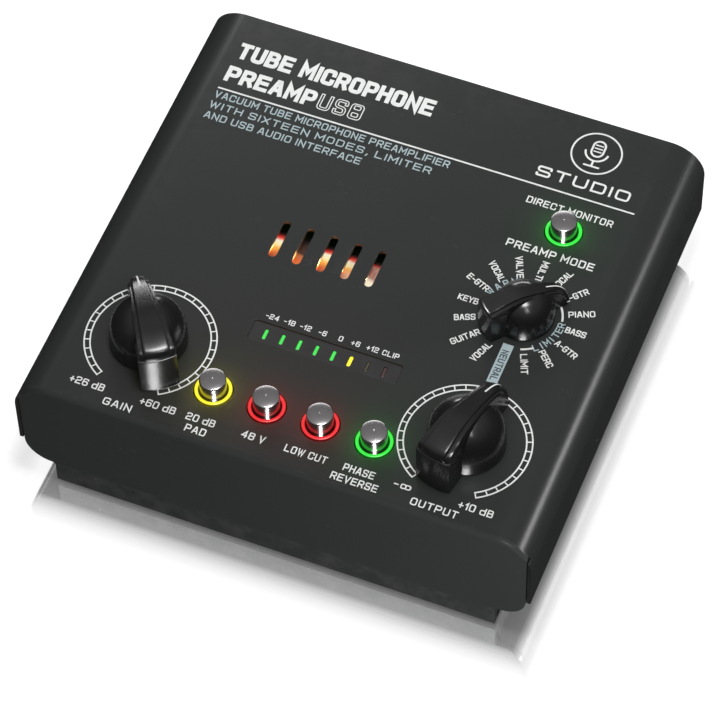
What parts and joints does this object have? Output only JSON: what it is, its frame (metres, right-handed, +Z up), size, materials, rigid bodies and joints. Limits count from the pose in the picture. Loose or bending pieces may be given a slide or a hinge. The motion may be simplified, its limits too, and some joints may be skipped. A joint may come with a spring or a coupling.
{
  "type": "microphone preamp",
  "caption": "Desktop valve microphone preamp: charcoal steel case, pointer knobs, ring-lit push buttons, bar meter, glowing valve behind slots, rear sockets.",
  "frame": {"origin": "middle of the bounding box, on the desk surface under the feet", "axes": "+X to the right of someone facing the front, +Y towards the rear connectors, +Z up through the control panel"},
  "size_m": [0.135, 0.1298, 0.0561],
  "materials": {
    "case_paint": "satin charcoal powder coat",
    "base_paint": "satin charcoal powder coat",
    "foot_rubber": "matt black rubber",
    "screw_black": "black zinc plate",
    "knob_black": "glossy black moulding",
    "shaft_metal": "turned",
    "pot_metal": "plated can",
    "button_metal": "dark spun metal",
    "light_yellow": "lit light guide",
    "light_red": "lit light guide",
    "light_green": "lit light guide",
    "switch_body": "moulded",
    "smoked_window": "smoked tint",
    "led_green": "lit",
    "led_yellow": "lit",
    "led_amber_dark": "unlit",
    "led_red_dark": "unlit",
    "valve_glass": "clear blown glass",
    "electrode_metal": "grey carbonised metal, glowing",
    "ceramic_socket": "glazed",
    "board_green": "solder mask",
    "connector_black": "moulded",
    "latch_black": "moulded",
    "contact_metal": "silver plated",
    "jack_black": "moulded",
    "nut_steel": "nickel plated",
    "usb_shell": "plated shell"
  },
  "bodies": {
    "chassis": {"top_cover": "case_paint", "front_panel": "case_paint", "rear_panel": "case_paint", "base_pan": "base_paint", "foot_1": "foot_rubber", "foot_2": "foot_rubber", "foot_3": "foot_rubber", "foot_4": "foot_rubber", "base_screw_1": "screw_black", "base_screw_2": "screw_black", "base_screw_3": "screw_black", "base_screw_4": "screw_black", "gain_pot": "pot_metal", "output_pot": "pot_metal", "mode_pot": "pot_metal", "pad_ring": "light_yellow", "pad_switch": "switch_body", "phantom_ring": "light_red", "phantom_switch": "switch_body", "low_cut_ring": "light_red", "low_cut_switch": "switch_body", "phase_ring": "light_green", "phase_switch": "switch_body", "monitor_ring": "light_green", "monitor_switch": "switch_body", "meter_window": "smoked_window", "meter_led_1": "led_green", "meter_led_2": "led_green", "meter_led_3": "led_green", "meter_led_4": "led_green", "meter_led_5": "led_green", "meter_led_6": "led_yellow", "meter_led_7": "led_amber_dark", "meter_led_8": "led_red_dark", "valve_glass": "valve_glass", "valve_electrodes": "electrode_metal", "valve_socket": "ceramic_socket", "control_board": "board_green", "main_board": "board_green", "input_xlr_shell": "connector_black", "output_xlr_shell": "connector_black", "output_xlr_pins": "contact_metal", "input_jack": "jack_black", "input_nut": "nut_steel", "output_jack": "jack_black", "output_nut": "nut_steel", "usb_socket": "usb_shell", "power_socket": "jack_black"},
    "gain_control": {"gain_knob": "knob_black", "gain_shaft": "shaft_metal"},
    "output_control": {"output_knob": "knob_black", "output_shaft": "shaft_metal"},
    "mode_control": {"mode_knob": "knob_black", "mode_shaft": "shaft_metal"},
    "pad_push": {"pad_button": "button_metal"},
    "phantom_push": {"phantom_button": "button_metal"},
    "low_cut_push": {"low_cut_button": "button_metal"},
    "phase_push": {"phase_button": "button_metal"},
    "monitor_push": {"monitor_button": "button_metal"},
    "input_release": {"input_xlr_latch": "latch_black"}
  },
  "joints": [
    {"name": "gain_turn", "type": "hinge", "parent": "chassis", "child": "gain_control", "pos_m": [-0.0412, -0.0413, 0.0398], "axis": [0, 0, -1], "range_deg": [-115.5, 184.5]},
    {"name": "output_turn", "type": "hinge", "parent": "chassis", "child": "output_control", "pos_m": [0.042, -0.04145, 0.0398], "axis": [0, 0, -1], "range_deg": [-163, 137]},
    {"name": "mode_turn", "type": "hinge", "parent": "chassis", "child": "mode_control", "pos_m": [0.04195, -0.00175, 0.0398], "axis": [0, 0, -1], "continuous": true},
    {"name": "pad_press", "type": "slide", "parent": "chassis", "child": "pad_push", "axis": [0, 0, -1], "range_m": [0, 0.0015], "stiffness_N_per_m": 300, "springref_m": -0.0004},
    {"name": "phantom_press", "type": "slide", "parent": "chassis", "child": "phantom_push", "axis": [0, 0, -1], "range_m": [0, 0.0015], "stiffness_N_per_m": 300, "springref_m": -0.0004},
    {"name": "low_cut_press", "type": "slide", "parent": "chassis", "child": "low_cut_push", "axis": [0, 0, -1], "range_m": [0, 0.0015], "stiffness_N_per_m": 300, "springref_m": -0.0004},
    {"name": "phase_press", "type": "slide", "parent": "chassis", "child": "phase_push", "axis": [0, 0, -1], "range_m": [0, 0.0015], "stiffness_N_per_m": 300, "springref_m": -0.0004},
    {"name": "monitor_press", "type": "slide", "parent": "chassis", "child": "monitor_push", "axis": [0, 0, -1], "range_m": [0, 0.0015], "stiffness_N_per_m": 300, "springref_m": -0.0004},
    {"name": "release_press", "type": "slide", "parent": "chassis", "child": "input_release", "axis": [0, 0, -1], "range_m": [0, 0.0015], "stiffness_N_per_m": 400, "springref_m": -0.0004}
  ]
}
